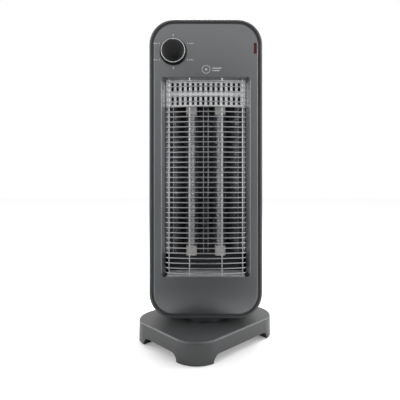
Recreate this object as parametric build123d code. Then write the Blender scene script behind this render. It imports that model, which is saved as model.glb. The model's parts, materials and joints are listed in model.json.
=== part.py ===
from build123d import *
import os
from math import cos, radians, sin, sqrt

# Tower heater with two carbon tubes: a tall flat head that swings on a low
# rounded base. Millimetres, +Z up, the head's front faces -Y, and the origin
# is on the floor under the swing axis. Heights of head features are counted
# from the head's underside, and depths go back from the head's front.

# Base
base_width = 244.0
base_depth = 203.0
base_corner_radius = 52.0
base_height = 42.0
base_edge_radius = 4.0
base_wall = 2.5
base_yaw = 44.0
arch_height = 15.0
arch_bend_radius = 13.5
long_arch_half = 77.0
short_arch_half = 50.0
foot_pad_height = 1.0
pad_plug_height = 3.0
pad_inset = 1.0
fit_gap = 0.3

# Head
head_width = 225.0
head_height = 595.0
head_corner_radius = 50.0
head_depth = 110.0
axis_depth = 45.0
head_gap = 8.0
shell_wall = 2.5
housing_depth = 18.0
rear_edge_radius = 22.0

# Front rim, groove and panel
rim_width = 4.4
rim_edge_radius = 2.6
groove_width = 4.4
panel_thickness = 4.0
panel_edge_radius = 1.8
window_width = 177.3
window_low = 83.0
window_high = 479.8
window_radius = 6.0
bezel_back_radius = 3.0
bezel_taper_side = 6.1
bezel_taper_top = 1.0
bezel_wall = 2.0
window_edge_radius = 0.9

# Wire guard
wire = 2.2
wire_pitch = 10.05
wire_count = 39
guard_crown = 1.5
guard_bow = 7.5
guard_bow_half = 75.2
guard_end_half = 80.8
guard_end_run = 3.0
inner_rod_x = 32.4
outer_rod_x = 74.0

# Reflector, vent plate and ledge
sheet = 0.8
reflector_low = 126.0
reflector_high = 432.0
flange_half = 102.0
flange_depth = 24.0
joggle_outer = 82.5
joggle_inner = 81.0
strip_depth = 19.0
strip_inner = 66.0
trough_outer = 42.0
trough_inner = 16.0
trough_depth = 52.0
ridge_half = 5.0
ridge_depth = 30.0
vent_low = 425.5
vent_high = 495.0
vent_columns = 14
vent_pitch = 10.4
slot_width = 5.0
slot_height = 19.5
slot_rows = (437.9, 463.4)
ledge_front = 6.0
ledge_half = 79.0
lower_plate_high = 140.0
shield_half = 91.0
shield_depth = 60.0

# Carbon tubes
tube_x = 30.0
tube_depth = 36.0
tube_radius = 7.0
tube_wall = 1.2
cap_width = 22.0
cap_front = 28.0
cap_height = 20.0
low_cap_base = 120.0
high_cap_base = 411.0
cap_floor = 7.0
filament_width = 5.0
filament_thickness = 0.9
lead_pin_radius = 1.1

# Knob and rotary switch
knob_x = -64.5
knob_rise = 50.9
knob_radius = 24.6
knob_well_radius = 27.0
knob_proud = 12.0
knob_ring_width = 2.9
knob_float = 0.6
shaft_radius = 3.0
running_gap = 0.05
switch_size = 32.0
switch_length = 23.0
neck_radius = 4.75
nut_flats = 11.0
nut_thickness = 2.4

# Indicator
lens_x = 98.2
lens_above_knob = 6.7
lens_width = 6.0
lens_tall = 21.0
lamp_radius = 2.6
lamp_length = 15.0

# Swivel and swing drive
hub_radius = 30.0
collar_radius = 46.0
wire_bore = 10.0
hub_neck_radius = 24.0
washer_thickness = 1.5
boss_wall = 4.0
crank_offset = 36.0
crank_throw = 25.5
crank_ratio = 8.0 / 3.0
roller_radius = 4.0
slot_side_play = 1.8
arm_thickness = 2.0
arm_disc_radius = 38.0
clamp_half = 60.0
clamp_front = 26.0
clamp_back = 34.0
crank_thickness = 3.0
motor_radius = 25.0
motor_height = 18.0
motor_shaft_radius = 3.5

# Tip-over switch
plunger_x = -45.0
plunger_y = -40.0
plunger_radius = 4.0
plunger_travel = 5.0
stem_radius = 2.0
spring_wire = 0.7
spring_turns = 5

# Rear cover
louvre_width = 48.0
louvre_height = 4.0
louvre_pitch = 9.0
louvre_rows = 8
louvre_columns = 3
louvre_gap = 8.0
top_louvres = 440.0
low_louvres = 62.0
grip_width = 112.0
grip_height = 32.0
grip_depth = 26.0
grip_centre = 556.0
grip_undercut = 9.0

# Fasteners
screw_radius = 1.7
screw_head_radius = 3.2
screw_head = 2.2
pilot_gap = 0.1
boss_radius = 4.0
column_inset = 16.5
top_column_inset = 28.5
column_low = 50.0
column_middle = 455.0
column_top_drop = 33.0
flange_screw_inset = 4.5
flange_screw_margin = 16.0
vent_screw_inset = 11.0
vent_screw_drop = 6.0
hub_screw_x = 32.0
hub_screw_y = 18.5
arm_screw_circle = 19.0
cutout_screw_x = 11.6
base_screw_x = 58.0
base_screw_inset = 29.5

# Places worked out from the sizes above
head_low = base_height + head_gap
front_y = -axis_depth
web_depth = panel_thickness + shell_wall
column_radius = screw_head_radius + 0.4 + 1.6
knob_height = window_high + knob_rise
lens_height = knob_height + lens_above_knob
parts = {}


def up(height):
    """Height above the floor of a point on the head."""
    return head_low + height


def front_plane(depth):
    """Upright plane facing the front, some depth behind the head's front."""
    return Plane((0, front_y + depth, 0), x_dir=(1, 0, 0), z_dir=(0, -1, 0))


def slab(sketch, depth, thickness):
    """Solid drawn as seen from the front, going back from a depth."""
    return extrude(front_plane(depth) * sketch, amount=-thickness)


def rounded(width, height, radius, x=0.0, z=0.0):
    """Rounded rectangle centred on a point of the front view."""
    return Pos(x, z) * RectangleRounded(width, height, radius)


def disc(radius, x, z):
    """Circle centred on a point of the front view."""
    return Pos(x, z) * Circle(radius)


def block(x0, x1, y0, y1, z0, z1):
    """Box between two corners."""
    centre = Pos((x0 + x1) / 2, (y0 + y1) / 2, (z0 + z1) / 2)
    return centre * Box(x1 - x0, y1 - y0, z1 - z0)


def post(radius, x, y, z0, z1):
    """Upright cylinder between two heights."""
    return Pos(x, y, (z0 + z1) / 2) * Cylinder(radius, z1 - z0)


def ring(outer, inner, x, y, z0, z1):
    """Upright tube between two heights."""
    return post(outer, x, y, z0, z1) - post(inner, x, y, z0 - 1, z1 + 1)


def screw_up(x, y, head_z, length, way=1):
    """Upright screw: the head ends at head_z and the shank goes on by length."""
    head = post(screw_head_radius, x, y, *sorted((head_z - way * screw_head, head_z)))
    shank = post(screw_radius, x, y, *sorted((head_z, head_z + way * length)))
    return head + shank


def screw_in(x, z, head_depth, length):
    """Screw driven from behind towards the front, its head resting at a depth."""
    head = slab(disc(screw_head_radius, x, z), head_depth, screw_head)
    shank = slab(disc(screw_radius, x, z), head_depth - length, length)
    return head + shank


def head_outline(inset):
    """Front view of the head, drawn in by an inset."""
    return rounded(head_width - 2 * inset, head_height - 2 * inset,
                   head_corner_radius - inset, 0, up(head_height / 2))


def base_outline(inset):
    """Plan of the base, drawn in by an inset."""
    return RectangleRounded(base_width - 2 * inset, base_depth - 2 * inset,
                            base_corner_radius - inset)


def window_section(depth, grow):
    """Section of the bezel's inner face at a depth, grown outwards."""
    share = depth / housing_depth
    width = window_width - 2 * bezel_taper_side * share + 2 * grow
    low = window_low - grow
    high = window_high - bezel_taper_top * share + grow
    radius = window_radius + (bezel_back_radius - window_radius) * share + grow
    shape = rounded(width, high - low, radius, 0, up((low + high) / 2))
    return front_plane(depth) * shape


# Screw places, as x and height in the front view
column_x = head_width / 2 - column_inset
top_column_x = head_width / 2 - top_column_inset
column_heights = ((column_x, column_low), (column_x, column_middle),
                  (top_column_x, head_height - column_top_drop))
column_places = [(side * x, h) for side in (-1, 1) for x, h in column_heights]
flange_heights = (reflector_low + flange_screw_margin, (reflector_low + reflector_high) / 2,
                  reflector_high - flange_screw_margin)
flange_screws = [(side * (flange_half - flange_screw_inset), h) for side in (-1, 1) for h in flange_heights]
vent_screws = [(side * (joggle_inner - vent_screw_inset), vent_high - vent_screw_drop) for side in (-1, 1)]


# Front housing: moulded shell with the outer rim, the groove and the screw bosses
shell = slab(head_outline(0), 0, housing_depth)
shell = fillet(shell.edges().group_by(Axis.Y)[0], rim_edge_radius)
shell -= slab(head_outline(rim_width), -1, panel_thickness + 1)
shell -= slab(head_outline(shell_wall), web_depth, housing_depth)
window_hole = rounded(window_width + 2 * bezel_wall + 2 * fit_gap,
                      window_high - window_low + 2 * bezel_wall + 2 * fit_gap,
                      window_radius + bezel_wall + fit_gap, 0, up((window_low + window_high) / 2))
shell -= slab(window_hole, panel_thickness - 1, shell_wall + 2)
shell -= slab(disc(neck_radius + pilot_gap, knob_x, up(knob_height)), 0, 12)
lens_slot = rounded(lens_width + 2 * pilot_gap, lens_tall + 2 * pilot_gap, 1.1, lens_x, up(lens_height))
shell -= slab(lens_slot, 0, 12)
for x, h in flange_screws:
    shell += slab(disc(boss_radius, x, up(h)), web_depth, flange_depth - web_depth)
for x, h in vent_screws:
    shell += slab(disc(boss_radius, x, up(h)), web_depth, strip_depth - sheet - web_depth)
for x, h in column_places:
    shell += slab(disc(column_radius, x, up(h)), web_depth, housing_depth - web_depth)
for x, h in flange_screws + vent_screws + column_places:
    shell -= slab(disc(screw_radius + pilot_gap, x, up(h)), web_depth + 2, flange_depth)
parts["front_housing"] = shell

# Front panel: painted facing with the window bezel, the knob well and the lens slot
panel_inset = rim_width + groove_width
panel = slab(head_outline(panel_inset), 0, panel_thickness)
panel = fillet(panel.edges().group_by(Axis.Y)[0], panel_edge_radius)
bezel = loft([window_section(0, bezel_wall), window_section(housing_depth, bezel_wall)], ruled=True)
opening = loft([window_section(0, 0), window_section(housing_depth, 0)], ruled=True)
panel = panel + bezel - opening
window_edges = []
for edge in panel.edges().group_by(Axis.Y)[0]:
    reach = edge.bounding_box()
    beside = -window_width / 2 - 1 < reach.min.X and reach.max.X < window_width / 2 + 1
    between = up(window_low) - 1 < reach.min.Z and reach.max.Z < up(window_high) + 1
    if beside and between:
        window_edges.append(edge)
panel = fillet(window_edges, window_edge_radius)
panel -= slab(disc(knob_well_radius, knob_x, up(knob_height)), -1, panel_thickness + 2)
panel -= slab(lens_slot, -1, panel_thickness + 2)
parts["front_panel"] = panel

# Rear cover: deep shell with louvres, a recessed grip and screw wells
rear_length = head_depth - housing_depth
cover = slab(head_outline(0), housing_depth, rear_length)
cover = fillet(cover.edges().group_by(Axis.Y)[-1], rear_edge_radius)
inside = slab(head_outline(shell_wall), housing_depth - 1, rear_length - shell_wall + 1)
inside = fillet(inside.edges().group_by(Axis.Y)[-1], rear_edge_radius - shell_wall)
cover -= inside
for x, h in column_places:
    well_end = housing_depth + 4
    column = slab(disc(column_radius, x, up(h)), housing_depth, rear_length - shell_wall)
    cover += column
    cover -= slab(disc(screw_head_radius + 0.4, x, up(h)), well_end, head_depth)
    cover -= slab(disc(screw_radius + pilot_gap, x, up(h)), housing_depth - 1, 6)
louvre = RectangleRounded(louvre_width, louvre_height, louvre_height / 2 - 0.01)
for low in (top_louvres, low_louvres):
    for row in range(louvre_rows):
        for column in range(louvre_columns):
            x = (column - (louvre_columns - 1) / 2) * (louvre_width + louvre_gap)
            place = Pos(x, up(low + row * louvre_pitch))
            cover -= slab(place * louvre, head_depth - shell_wall - 1, shell_wall + 2)
cup_depth = head_depth - shell_wall - grip_depth
cup_high = grip_height + grip_undercut
cup_centre = grip_centre + grip_undercut / 2
cup = slab(rounded(grip_width + 2 * shell_wall, cup_high + 2 * shell_wall, 8, 0, up(cup_centre)),
           cup_depth - shell_wall, grip_depth + shell_wall)
cup -= slab(rounded(grip_width, cup_high, 6, 0, up(cup_centre)), cup_depth, grip_depth)
cover += cup
cover -= slab(rounded(grip_width, grip_height, 6, 0, up(grip_centre)), cup_depth, head_depth)
cover -= post(hub_neck_radius + 0.2, 0, 0, head_low - 1, head_low + 2 * shell_wall)
hub_screw_places = [(sx * hub_screw_x, sy * hub_screw_y) for sx in (-1, 1) for sy in (-1, 1)]
for x, y in hub_screw_places:
    cover -= post(screw_radius + pilot_gap, x, y, head_low - 1, head_low + 2 * shell_wall)
parts["rear_cover"] = cover

# Reflector: one bright folded sheet with a trough behind each tube
half_profile = [(ridge_half, ridge_depth), (trough_inner, trough_depth), (trough_outer, trough_depth),
                (strip_inner, strip_depth), (joggle_inner, strip_depth), (joggle_outer, flange_depth),
                (flange_half, flange_depth)]
fold = [(-x, d) for x, d in reversed(half_profile)] + half_profile
front_line = Polyline([(x, front_y + d) for x, d in fold])
reflector_plan = offset(front_line, amount=sheet, side=Side.LEFT)
reflector = extrude(make_face(reflector_plan), amount=reflector_high - reflector_low)
reflector = Pos(0, 0, up(reflector_low)) * reflector
for x, h in flange_screws:
    reflector -= slab(disc(screw_radius + pilot_gap, x, up(h)), flange_depth - 1, 4)
cap_bases = (low_cap_base, high_cap_base)
cap_places = [(side * tube_x, base) for side in (-1, 1) for base in cap_bases]
for x, base in cap_places:
    reflector -= slab(disc(screw_radius + pilot_gap, x, up(base + cap_height / 2)), trough_depth - 1, 4)
parts["reflector"] = reflector

# Heat shield: hat-shaped pan behind the reflector
lip_depth = flange_depth + sheet
shield_tall = reflector_high - reflector_low
shield_middle = up((reflector_low + reflector_high) / 2)
pan = slab(Pos(0, shield_middle) * Rectangle(2 * shield_half, shield_tall),
           lip_depth, shield_depth - lip_depth)
hollow = slab(Pos(0, shield_middle) * Rectangle(2 * (shield_half - sheet), shield_tall),
              lip_depth - 1, shield_depth - lip_depth + 1 - sheet)
lips = slab(Pos(0, shield_middle) * Rectangle(2 * flange_half, shield_tall), lip_depth, sheet)
shield = pan + lips - hollow
for x, h in flange_screws:
    shield -= slab(disc(screw_radius + pilot_gap, x, up(h)), lip_depth - 1, 4)
parts["heat_shield"] = shield

# Vent plate: bright slotted sheet across the top of the window
vent_tall = vent_high - vent_low
vent = slab(Pos(0, up((vent_low + vent_high) / 2)) * Rectangle(2 * joggle_inner, vent_tall),
            strip_depth - sheet, sheet)
slot_shape = RectangleRounded(slot_width, slot_height, 1.6)
for height in slot_rows:
    for column in range(vent_columns):
        x = (column - (vent_columns - 1) / 2) * vent_pitch
        vent -= slab(Pos(x, up(height)) * slot_shape, strip_depth - sheet - 1, sheet + 2)
for x, h in vent_screws:
    vent -= slab(disc(screw_radius + pilot_gap, x, up(h)), strip_depth - sheet - 1, sheet + 2)
parts["vent_plate"] = vent

# Lower ledge and the dark baffle plate that rises behind it
ledge_back = trough_depth + sheet
parts["lower_ledge"] = block(-ledge_half, ledge_half, front_y + ledge_front, front_y + ledge_back,
                             up(window_low), up(window_low) + sheet)
baffle = block(-joggle_inner, joggle_inner, front_y + ledge_back, front_y + ledge_back + sheet,
               up(window_low), up(lower_plate_high))
for x in (-tube_x, tube_x):
    baffle -= slab(disc(screw_head_radius + fit_gap, x, up(low_cap_base + cap_height / 2)), ledge_back - 1, 4)
parts["lower_baffle"] = baffle

# Wire guard: bowed wires with turned-back ends on four upright rods
bow_radius = (guard_bow_half ** 2 + guard_bow ** 2) / (2 * guard_bow)
bow_front = front_y - guard_crown
bow_centre_y = bow_front + bow_radius
bow = ThreePointArc((-guard_bow_half, bow_front + guard_bow), (0, bow_front),
                    (guard_bow_half, bow_front + guard_bow))
end_direction = bow % 1
start_direction = bow % 0
bend_reach = guard_end_half - guard_bow_half
turned_back = bend_reach * (1 + end_direction.Y) / end_direction.X
bend_y = bow_front + guard_bow + turned_back
right_bend = TangentArc((guard_bow_half, bow_front + guard_bow), (guard_end_half, bend_y),
                        tangent=end_direction)
left_bend = TangentArc((-guard_bow_half, bow_front + guard_bow), (-guard_end_half, bend_y),
                       tangent=-start_direction)
right_run = Line((guard_end_half, bend_y), (guard_end_half, bend_y + guard_end_run))
left_run = Line((-guard_end_half, bend_y), (-guard_end_half, bend_y + guard_end_run))
wire_path = Wire([left_run, left_bend, bow, right_bend, right_run])
wire_face = Plane(wire_path @ 0, z_dir=wire_path % 0) * Circle(wire / 2)
one_wire = sweep(wire_face, path=wire_path)
window_middle = (window_low + sheet + window_high - bezel_taper_top) / 2
guard = []
for row in range(wire_count):
    height = window_middle + (row - (wire_count - 1) / 2) * wire_pitch
    guard.append(Pos(0, 0, up(height)) * one_wire)
rod_arc = bow_radius - wire
for rod_x in (-outer_rod_x, -inner_rod_x, inner_rod_x, outer_rod_x):
    rod_y = bow_centre_y - sqrt(rod_arc ** 2 - rod_x ** 2)
    guard.append(post(wire / 2, rod_x, rod_y, up(window_low) + sheet * (rod_y > front_y + ledge_front),
                      up(window_high) - bezel_taper_top))
parts["guard"] = Compound(children=guard)

# Quartz tubes, their carbon filaments and the ceramic end caps
tube_low = low_cap_base + cap_floor
tube_high = high_cap_base + cap_height - cap_floor
tube_y = front_y + tube_depth
for side, name in ((-1, "left"), (1, "right")):
    x = side * tube_x
    parts["quartz_tube_" + name] = ring(tube_radius, tube_radius - tube_wall, x, tube_y,
                                        up(tube_low), up(tube_high))
    ribbon = block(x - filament_width / 2, x + filament_width / 2, tube_y - filament_thickness / 2,
                   tube_y + filament_thickness / 2, up(tube_low) + 2, up(tube_high) - 2)
    for low, high in ((low_cap_base, tube_low + 6), (tube_high - 6, high_cap_base + cap_height)):
        ribbon += post(lead_pin_radius, x, tube_y, up(low), up(high))
    parts["carbon_filament_" + name] = ribbon
    for base, end, way in ((low_cap_base, "low", 1), (high_cap_base, "high", -1)):
        body = block(x - cap_width / 2, x + cap_width / 2, front_y + cap_front, front_y + trough_depth,
                     up(base), up(base + cap_height))
        body = fillet(body.edges().filter_by(Axis.Z).group_by(Axis.Y)[0], 5)
        bore_low, bore_high = (cap_floor, cap_height + 1) if way > 0 else (-1, cap_height - cap_floor)
        body -= post(tube_radius + pilot_gap, x, tube_y, up(base + bore_low), up(base + bore_high))
        body -= post(lead_pin_radius + pilot_gap, x, tube_y, up(base) - 1, up(base + cap_height) + 1)
        body -= slab(disc(screw_radius + pilot_gap, x, up(base + cap_height / 2)), trough_depth - 7, 8)
        parts["ceramic_cap_" + name + "_" + end] = body

# Control knob: bright ring on a black domed cap, turning on the switch shaft
knob_back = front_y + panel_thickness - knob_float
knob_front = front_y - knob_proud
core_radius = knob_radius - knob_ring_width
ring_front = knob_front + 3.0
flange_top = knob_back - 2.0
nut_room = 15.0
knob_place = Pos(knob_x, 0, up(knob_height))
cap_thickness = 10.5
dome = TangentArc((0, knob_front), (core_radius, ring_front + 0.6), tangent=(1, 0))
cap_edge = Polyline([(0, knob_front), (0, knob_front + cap_thickness), (nut_room, knob_front + cap_thickness),
                     (nut_room, knob_back), (knob_radius - 2.6, knob_back),
                     (knob_radius - 2.6, flange_top), (core_radius, flange_top),
                     (core_radius, ring_front + 0.6)])
cap_solid = revolve(make_face(dome + cap_edge), Axis.Y)
shaft_end = front_y - 7.0
cap_bore = Rot(90, 0, 0) * Cylinder(shaft_radius + 0.02, 20.0)
cap_solid -= Pos(0, shaft_end + 10.0, 0) * cap_bore
mark_low = core_radius - 2.2
mark_high = core_radius + 0.8
mark_pocket = block(-0.9, 0.9, ring_front - 1, ring_front + 1, mark_low, mark_high)
parts["knob_cap"] = knob_place * (cap_solid - mark_pocket)
ring_profile = Polyline([(core_radius + 0.1, ring_front), (knob_radius - 1.6, ring_front),
                         (knob_radius, ring_front + 1.6), (knob_radius, knob_back),
                         (knob_radius - 2.5, knob_back), (knob_radius - 2.5, flange_top),
                         (core_radius + 0.1, flange_top), (core_radius + 0.1, ring_front)])
knob_ring = revolve(make_face(ring_profile), Axis.Y)
parts["knob_ring"] = knob_place * (knob_ring - mark_pocket)
parts["knob_pointer"] = knob_place * block(-0.9, 0.9, ring_front - 0.15, ring_front + 1, mark_low, mark_high)

# Rotary switch on the housing web, with its shaft and nut
switch_z = up(knob_height)
switch_body = slab(rounded(switch_size, switch_size, 3, knob_x, switch_z), web_depth, switch_length)
neck_front = panel_thickness - nut_thickness - 0.8
switch_body += slab(disc(neck_radius, knob_x, switch_z), neck_front, web_depth - neck_front)
shaft_root = web_depth + 6.0
switch_body -= slab(disc(shaft_radius + running_gap, knob_x, switch_z), -1, shaft_root + 1)
for column in range(3):
    x = knob_x + (column - 1) * 9.0
    for row in (-1, 1):
        z = switch_z + row * 10.0
        switch_body += block(x - 2.4, x + 2.4, front_y + web_depth + switch_length,
                             front_y + web_depth + switch_length + 7, z - 0.4, z + 0.4)
parts["rotary_switch"] = switch_body
parts["switch_shaft"] = slab(disc(shaft_radius, knob_x, switch_z), shaft_end - front_y,
                             shaft_root - 0.2 - (shaft_end - front_y))
nut = slab(Pos(knob_x, switch_z) * RegularPolygon(nut_flats / 2, 6, major_radius=False),
           panel_thickness - nut_thickness, nut_thickness)
nut -= slab(disc(neck_radius + running_gap, knob_x, switch_z), 0, panel_thickness + 1)
parts["switch_nut"] = nut

# Indicator: red lens in the panel slot, a neon lamp and its clip behind it
lens_z = up(lens_height)
lens = slab(rounded(lens_width, lens_tall, 1, lens_x, lens_z), -0.4, web_depth + 0.4)
lens = fillet(lens.edges().group_by(Axis.Y)[0], 0.5)
lens += slab(rounded(lens_width + 3, lens_tall + 3, 1, lens_x, lens_z), web_depth, 1.2)
parts["indicator_lens"] = lens
lamp_depth = web_depth + 1.2 + lamp_radius + 1.4
lamp = Pos(lens_x, front_y + lamp_depth, lens_z) * Cylinder(lamp_radius, lamp_length)
lamp = fillet(lamp.edges().group_by(Axis.Z)[-1], lamp_radius - 0.2)
parts["indicator_lamp"] = lamp
holder_low = lens_z - lamp_length / 2 - 3.0
holder = block(lens_x - 4, lens_x + 4, front_y + web_depth + 1.2, front_y + lamp_depth + lamp_radius + 1.4,
               holder_low, holder_low + 6.0)
holder -= post(lamp_radius + running_gap, lens_x, front_y + lamp_depth, holder_low + 3.0, holder_low + 9.0)
parts["lamp_holder"] = holder

# Thermal cut-out and terminal block on the back of the heat shield
shield_back = shield_depth
cutout_z = up(400.0)
cutout = slab(disc(8.0, 0, cutout_z), shield_back + 1.0, 9.0)
cutout += slab(rounded(30, 10, 4, 0, cutout_z), shield_back, 1.0)
for side in (-1, 1):
    cutout -= slab(disc(screw_radius + pilot_gap, side * cutout_screw_x, cutout_z), shield_back - 1, 4)
    cutout += block(side * 4 - 0.4, side * 4 + 0.4, front_y + shield_back + 10, front_y + shield_back + 17,
                    cutout_z - 2.4, cutout_z + 2.4)
parts["thermal_cutout"] = cutout
block_z = up(180.0)
terminal = slab(rounded(44, 16, 2, 0, block_z), shield_back, 14.0)
for column in range(4):
    x = (column - 1.5) * 10.0
    terminal -= slab(disc(2.6, x, block_z), shield_back + 6, 9.0)
parts["head_terminal_block"] = terminal
for side in (-1, 1):
    parts["heat_shield"] -= slab(disc(screw_radius + pilot_gap, side * cutout_screw_x, cutout_z),
                                 shield_back - 2, 4)

# Screws of the head
parts["reflector_screws"] = Compound(children=[screw_in(x, up(h), lip_depth + sheet, 12.0)
                                               for x, h in flange_screws])
parts["vent_screws"] = Compound(children=[screw_in(x, up(h), strip_depth, 9.0) for x, h in vent_screws])
parts["rear_cover_screws"] = Compound(children=[screw_in(x, up(h), housing_depth + 4, 12.0)
                                                for x, h in column_places])
parts["cap_screws"] = Compound(children=[screw_in(x, up(base + cap_height / 2), trough_depth + sheet, 6.5)
                                         for x, base in cap_places])
parts["cutout_screws"] = Compound(children=[screw_in(side * cutout_screw_x, cutout_z, shield_back + 1.0, 4.0)
                                            for side in (-1, 1)])

# Swivel hub under the head, its clamp plate inside the cover and their screws
boss_low = head_low - 14.2
hub_low = boss_low - fit_gap
washer_top = base_height + washer_thickness
hub_profile = Polyline([(wire_bore, hub_low), (hub_radius, hub_low), (hub_radius, washer_top),
                        (collar_radius, washer_top), (collar_radius, head_low),
                        (hub_neck_radius, head_low), (hub_neck_radius, head_low + shell_wall + 1.5),
                        (wire_bore, head_low + shell_wall + 1.5), (wire_bore, hub_low)])
hub = revolve(Plane.XZ * make_face(hub_profile), Axis.Z)
for x, y in hub_screw_places:
    hub -= post(screw_radius + pilot_gap, x, y, head_low - 5.5, head_low + 1)
arm_screw_places = [(arm_screw_circle * cos(radians(a)), arm_screw_circle * sin(radians(a)))
                    for a in (0, 180, 270)]
for x, y in arm_screw_places:
    hub -= post(screw_radius + pilot_gap, x, y, hub_low - 1, hub_low + 9)
parts["swivel_hub"] = hub
clamp_low = head_low + shell_wall
clamp = block(-clamp_half, clamp_half, -clamp_front, clamp_back, clamp_low, clamp_low + 2)
clamp -= post(hub_neck_radius + 0.2, 0, 0, clamp_low - 1, clamp_low + 3)
for x, y in hub_screw_places:
    clamp -= post(screw_radius + pilot_gap, x, y, clamp_low - 1, clamp_low + 3)
parts["hub_clamp_plate"] = clamp
parts["hub_screws"] = Compound(children=[screw_up(x, y, clamp_low + 2, 9.0, -1) for x, y in hub_screw_places])

# Slotted swing arm under the hub, pointing to the back of the head
arm_high = hub_low
arm_low = arm_high - arm_thickness
near_pin = sqrt(crank_offset ** 2 + crank_throw ** 2 + 2 * crank_offset * crank_throw * cos(radians(120)))
far_pin = crank_offset + crank_throw
slot_half = roller_radius + slot_side_play
slot_near = near_pin - roller_radius - 1.0
slot_far = far_pin + roller_radius + 1.0
arm_end = slot_far + 4.0
arm_plan = Circle(arm_disc_radius) + Pos(0, arm_end / 2) * Rectangle(2 * slot_half + 9, arm_end)
arm_plan -= Pos(0, (slot_near + slot_far) / 2) * Rectangle(2 * slot_half, slot_far - slot_near)
arm_plan -= Circle(wire_bore)
for x, y in arm_screw_places:
    arm_plan -= Pos(x, y) * Circle(screw_radius + pilot_gap)
parts["swing_arm"] = Pos(0, 0, arm_low) * extrude(arm_plan, amount=arm_thickness)
parts["arm_screws"] = Compound(children=[screw_up(x, y, arm_low, 8.0) for x, y in arm_screw_places])


# Base cover: low shell with four corner feet between arched sides
def corner_column(inset, z0, z1, sx, sy):
    """One foot's plan inside the arches, drawn in by an inset."""
    column = Pos(0, 0, z0) * extrude(base_outline(inset), amount=z1 - z0)
    keep = block(long_arch_half + inset, base_width, short_arch_half + inset, base_depth, z0, z1)
    keep = keep if sx > 0 else mirror(keep, Plane.YZ)
    keep = keep if sy > 0 else mirror(keep, Plane.XZ)
    return column & keep


corners = [(sx, sy) for sx in (-1, 1) for sy in (-1, 1)]
ceiling = base_height - base_wall
base = Pos(0, 0, foot_pad_height) * extrude(base_outline(0), amount=base_height - foot_pad_height)
base = fillet(base.edges().group_by(Axis.Z)[-1], base_edge_radius)
for plane, half in ((Plane.XZ, long_arch_half), (Plane.YZ, short_arch_half)):
    profile = plane * RectangleRounded(2 * half, 2 * arch_height, arch_bend_radius)
    base -= extrude(profile, amount=base_width, both=True)
base -= Pos(0, 0, arch_height) * extrude(base_outline(base_wall), amount=ceiling - arch_height)
for sx, sy in corners:
    base -= corner_column(base_wall, foot_pad_height - 1, arch_height + 1, sx, sy)
base += ring(hub_radius + boss_wall, hub_radius, 0, 0, boss_low, ceiling)
base -= post(hub_radius + 0.06, 0, 0, boss_low - 1, base_height + 1)
plate_top = arch_height + 2.0
base_screw_y = base_depth / 2 - base_screw_inset
base_screw_places = [(sx * base_screw_x, sy * base_screw_y) for sx, sy in corners]
for x, y in base_screw_places:
    base += post(boss_radius + 0.5, x, y, plate_top, ceiling)
    base -= post(screw_radius + pilot_gap, x, y, plate_top - 1, plate_top + 12)
inlet_x = 40.0
inlet_z = (arch_height + base_height) / 2
inlet_radius = 8.0
inlet_axis = Plane((inlet_x, base_depth / 2, inlet_z), x_dir=(1, 0, 0), z_dir=(0, 1, 0))
base -= extrude(inlet_axis * Circle(inlet_radius + pilot_gap), amount=4, both=True)

# Base plate: closes the base from below, with the motor well and its posts
plate = Pos(0, 0, arch_height) * extrude(base_outline(base_wall + fit_gap), amount=plate_top - arch_height)
well_low = plate_top - 8.0
well_radius = motor_radius + 2.0
plate += post(well_radius + 2, 0, crank_offset, well_low, plate_top)
plate -= post(well_radius, 0, crank_offset, well_low + 2, plate_top + 1)
motor_low = well_low + 2
motor_high = motor_low + motor_height
ear_x = 31.0
ear_low = motor_high - 2.7
ear_high = ear_low + 1.2
for side in (-1, 1):
    plate += post(boss_radius, side * ear_x, crank_offset, plate_top - 1, ear_low)
    plate -= post(screw_radius + pilot_gap, side * ear_x, crank_offset, plate_top + 1, ear_low + 1)
guide_top = plate_top + 0.5
plate += post(plunger_radius + 3, plunger_x, plunger_y, arch_height - 2, guide_top)
plate -= post(plunger_radius + 0.06, plunger_x, plunger_y, 0, guide_top + 1)
for x, y in base_screw_places:
    plate -= post(screw_radius + pilot_gap, x, y, 0, plate_top + 1)
bracket_leg = 11.0
bracket_thickness = 1.0
bracket_half = 5.0

# Foot pads: rubber plugs that close the feet and stand on the floor
pads = []
for sx, sy in corners:
    sole = corner_column(pad_inset, 0, foot_pad_height, sx, sy)
    plug = corner_column(base_wall + 0.2, foot_pad_height, foot_pad_height + pad_plug_height, sx, sy)
    pads.append(sole + plug)

# Swing motor with its ears, and the crank that it turns
motor = post(motor_radius, 0, crank_offset, motor_low, motor_high)
motor += block(-ear_x - 5, ear_x + 5, crank_offset - 5, crank_offset + 5, ear_low, ear_high)
for side in (-1, 1):
    motor -= post(screw_radius + pilot_gap, side * ear_x, crank_offset, ear_low - 1, ear_high + 1)
shaft_low = motor_low + 8
motor -= post(motor_shaft_radius + running_gap, 0, crank_offset, shaft_low, motor_high + 1)
crank_low = motor_high + 1.0
crank_high = crank_low + crank_thickness
crank_turn = 90.0 - crank_ratio * base_yaw
pin_x = crank_throw * cos(radians(crank_turn))
pin_y = crank_offset + crank_throw * sin(radians(crank_turn))
roller_top = hub_low - 0.2
lever_plan = Pos(0, crank_offset) * Circle(7.0) + Pos(pin_x, pin_y) * Circle(6.0)
lever_bar = Pos(pin_x / 2, (crank_offset + pin_y) / 2) * Rot(0, 0, crank_turn) * Rectangle(crank_throw, 11.0)
lever = Pos(0, 0, crank_low) * extrude(lever_plan + lever_bar, amount=crank_thickness)
lever -= post(motor_shaft_radius + 0.02, 0, crank_offset, crank_low - 1, crank_high + 1)
pin_radius = 2.0
lever += post(pin_radius, pin_x, pin_y, crank_high, roller_top)
roller = ring(roller_radius, pin_radius + running_gap, pin_x, pin_y, crank_high, roller_top)
motor_shaft = post(motor_shaft_radius, 0, crank_offset, shaft_low + 0.2, crank_high)

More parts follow.
